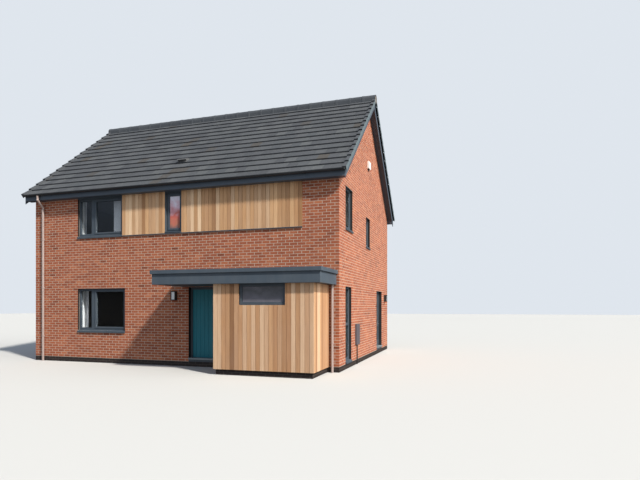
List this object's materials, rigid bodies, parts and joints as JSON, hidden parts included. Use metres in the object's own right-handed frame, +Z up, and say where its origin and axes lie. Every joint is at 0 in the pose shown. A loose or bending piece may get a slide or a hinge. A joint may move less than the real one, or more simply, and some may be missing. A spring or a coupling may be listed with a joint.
{
  "type": "detached house",
  "caption": "Two-storey detached brick house with a pitched tiled roof, timber cladding, a clad porch under a flat canopy, and doors that open inwards.",
  "frame": {"origin": "centre of the main block's footprint, on the ground", "axes": "+X to the right seen from the front, +Y from the front towards the rear, +Z up"},
  "size_m": [10.41, 9.05, 8.5501],
  "materials": {
    "brick": "red stretcher-bond facing brick with pale mortar",
    "engineering_brick": "dark engineering brick",
    "plaster": "matt plaster and screed",
    "timber_boards": "vertical larch boards, unpainted",
    "roof_timber": "sawn softwood",
    "roof_tile": "flat interlocking concrete tile",
    "roofline_grey": "anthracite board and gutter",
    "canopy_grey": "blue-grey coated sheet",
    "frame_grey": "anthracite window section",
    "window_glass": "clear sealed unit",
    "teal_paint": "satin teal paint on grooved boards",
    "handle_steel": "brushed",
    "threshold_metal": "mill aluminium",
    "curtain_cloth": "plain grey weave",
    "pipe_white": "off-white rainwater pipe",
    "meter_grey": "moulded grey box",
    "lamp_black": "black powder coat",
    "lamp_lens": "opal diffuser",
    "alarm_white": "white moulded cover"
  },
  "bodies": {
    "house": {"plinth": "engineering_brick", "plinth_sides": "engineering_brick", "porch_plinth": "engineering_brick", "ground_floor": "plaster", "first_floor": "plaster", "loft_ceiling": "plaster", "front_wall_left": "brick", "front_wall_behind_boards": "brick", "front_wall_over_door": "brick", "front_wall_right": "brick", "rear_wall": "brick", "left_gable_wall": "brick", "right_gable_front": "brick", "right_gable_over_door": "brick", "right_gable_rear": "brick", "porch_front_wall": "plaster", "porch_side_walls": "plaster", "porch_cladding": "timber_boards", "upper_cladding": "timber_boards", "cladding_drip": "roofline_grey", "canopy_roof": "canopy_grey", "canopy_fascia": "canopy_grey", "front_roof": "roof_timber", "rear_roof": "roof_timber", "front_tiles": "roof_tile", "rear_tiles": "roof_tile", "ridge_tiles": "roof_tile", "verge_caps": "roofline_grey", "fascias": "roofline_grey", "bargeboards": "roofline_grey", "eaves_soffits": "roofline_grey", "verge_soffits": "roofline_grey", "gutters": "roofline_grey", "downpipes": "pipe_white", "roof_vent": "roof_tile", "front_window_frames": "frame_grey", "gable_window_frames": "frame_grey", "rear_window_frames": "frame_grey", "front_window_glass": "window_glass", "gable_window_glass": "window_glass", "rear_window_glass": "window_glass", "window_sills": "frame_grey", "door_frames": "frame_grey", "door_thresholds": "threshold_metal", "curtain_poles": "handle_steel", "curtains": "curtain_cloth", "meter_box": "meter_grey", "meter_pipe": "frame_grey", "wall_lights": "lamp_black", "light_lenses": "lamp_lens", "alarm_box": "alarm_white"},
    "front_door": {"front_door": "teal_paint", "front_door_handle": "handle_steel"},
    "side_door": {"side_door": "frame_grey", "side_door_glass": "window_glass", "side_door_handle": "handle_steel"}
  },
  "joints": [
    {"name": "front_door_hinge", "type": "hinge", "parent": "house", "child": "front_door", "pos_m": [0.6135, -3.477, 0], "axis": [0, 0, 1], "range_deg": [0, 90]},
    {"name": "side_door_hinge", "type": "hinge", "parent": "house", "child": "side_door", "pos_m": [4.767, 1.4595, 0], "axis": [0, 0, 1], "range_deg": [0, 90]}
  ]
}
